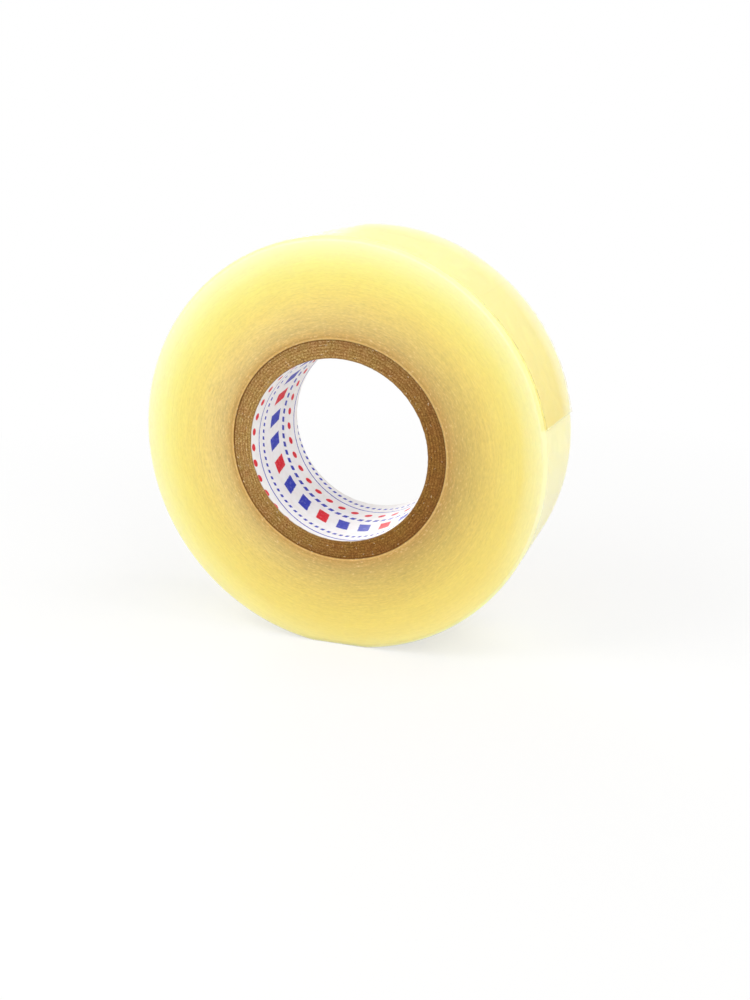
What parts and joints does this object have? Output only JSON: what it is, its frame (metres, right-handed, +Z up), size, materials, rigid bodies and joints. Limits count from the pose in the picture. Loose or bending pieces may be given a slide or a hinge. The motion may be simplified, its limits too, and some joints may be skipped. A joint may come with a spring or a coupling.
{
  "type": "tape roll",
  "caption": "Roll of clear pale yellow sports tape wound on a brown paperboard core with a white paper liner, standing on its rim, with a loose end that peels away.",
  "frame": {"origin": "middle of the rim's flat, on the surface that the roll stands on", "axes": "+Z up, +Y along the core from the front face to the back, +X to the right seen from the front"},
  "size_m": [0.0856, 0.025, 0.0854],
  "materials": {
    "liner": "smooth white paper with a slight sheen",
    "board": "raw brown paperboard with visible fibres",
    "tape": "clear film, waxy and pale yellow where it is wound deep"
  },
  "bodies": {
    "roll": {"core_liner": "liner", "core_ply_1": "board", "core_ply_2": "board", "core_ply_3": "board", "core_ply_4": "board", "core_ply_5": "board", "core_ply_6": "board", "tape_pack": "tape", "outer_wrap": "tape"},
    "tail": {"tape_tail": "tape"}
  },
  "joints": [
    {"name": "tail_peel", "type": "hinge", "parent": "roll", "child": "tail", "pos_m": [0.02823, 0, 0.07488], "axis": [0, -1, 0], "range_deg": [0, 150]}
  ]
}
